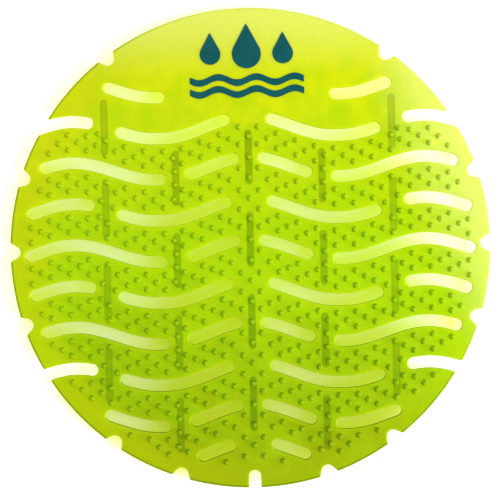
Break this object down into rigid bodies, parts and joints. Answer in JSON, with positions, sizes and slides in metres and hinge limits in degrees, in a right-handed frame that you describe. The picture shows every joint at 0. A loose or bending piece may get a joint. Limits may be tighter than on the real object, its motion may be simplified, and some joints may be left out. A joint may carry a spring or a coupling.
{
  "type": "urinal deodorizer screen",
  "caption": "Round flexible screen for a urinal, with wavy slots, a field of short studs, grip notches round the rim and low ribs on the back.",
  "frame": {"origin": "below the centre of the round sheet, on the plane that the ribs on the back stand on", "axes": "+Z out of the studded front face, +Y towards the plain field with the print, X across"},
  "size_m": [0.1848, 0.1849, 0.0082],
  "materials": {
    "scented_plastic": "soft translucent lime moulding, slightly glossy",
    "printed_ink": "flat dark teal ink"
  },
  "bodies": {
    "root": {"screen": "scented_plastic", "printed_drop_centre": "printed_ink", "printed_drop_left": "printed_ink", "printed_drop_right": "printed_ink", "printed_wave_upper": "printed_ink", "printed_wave_lower": "printed_ink"}
  },
  "joints": []
}
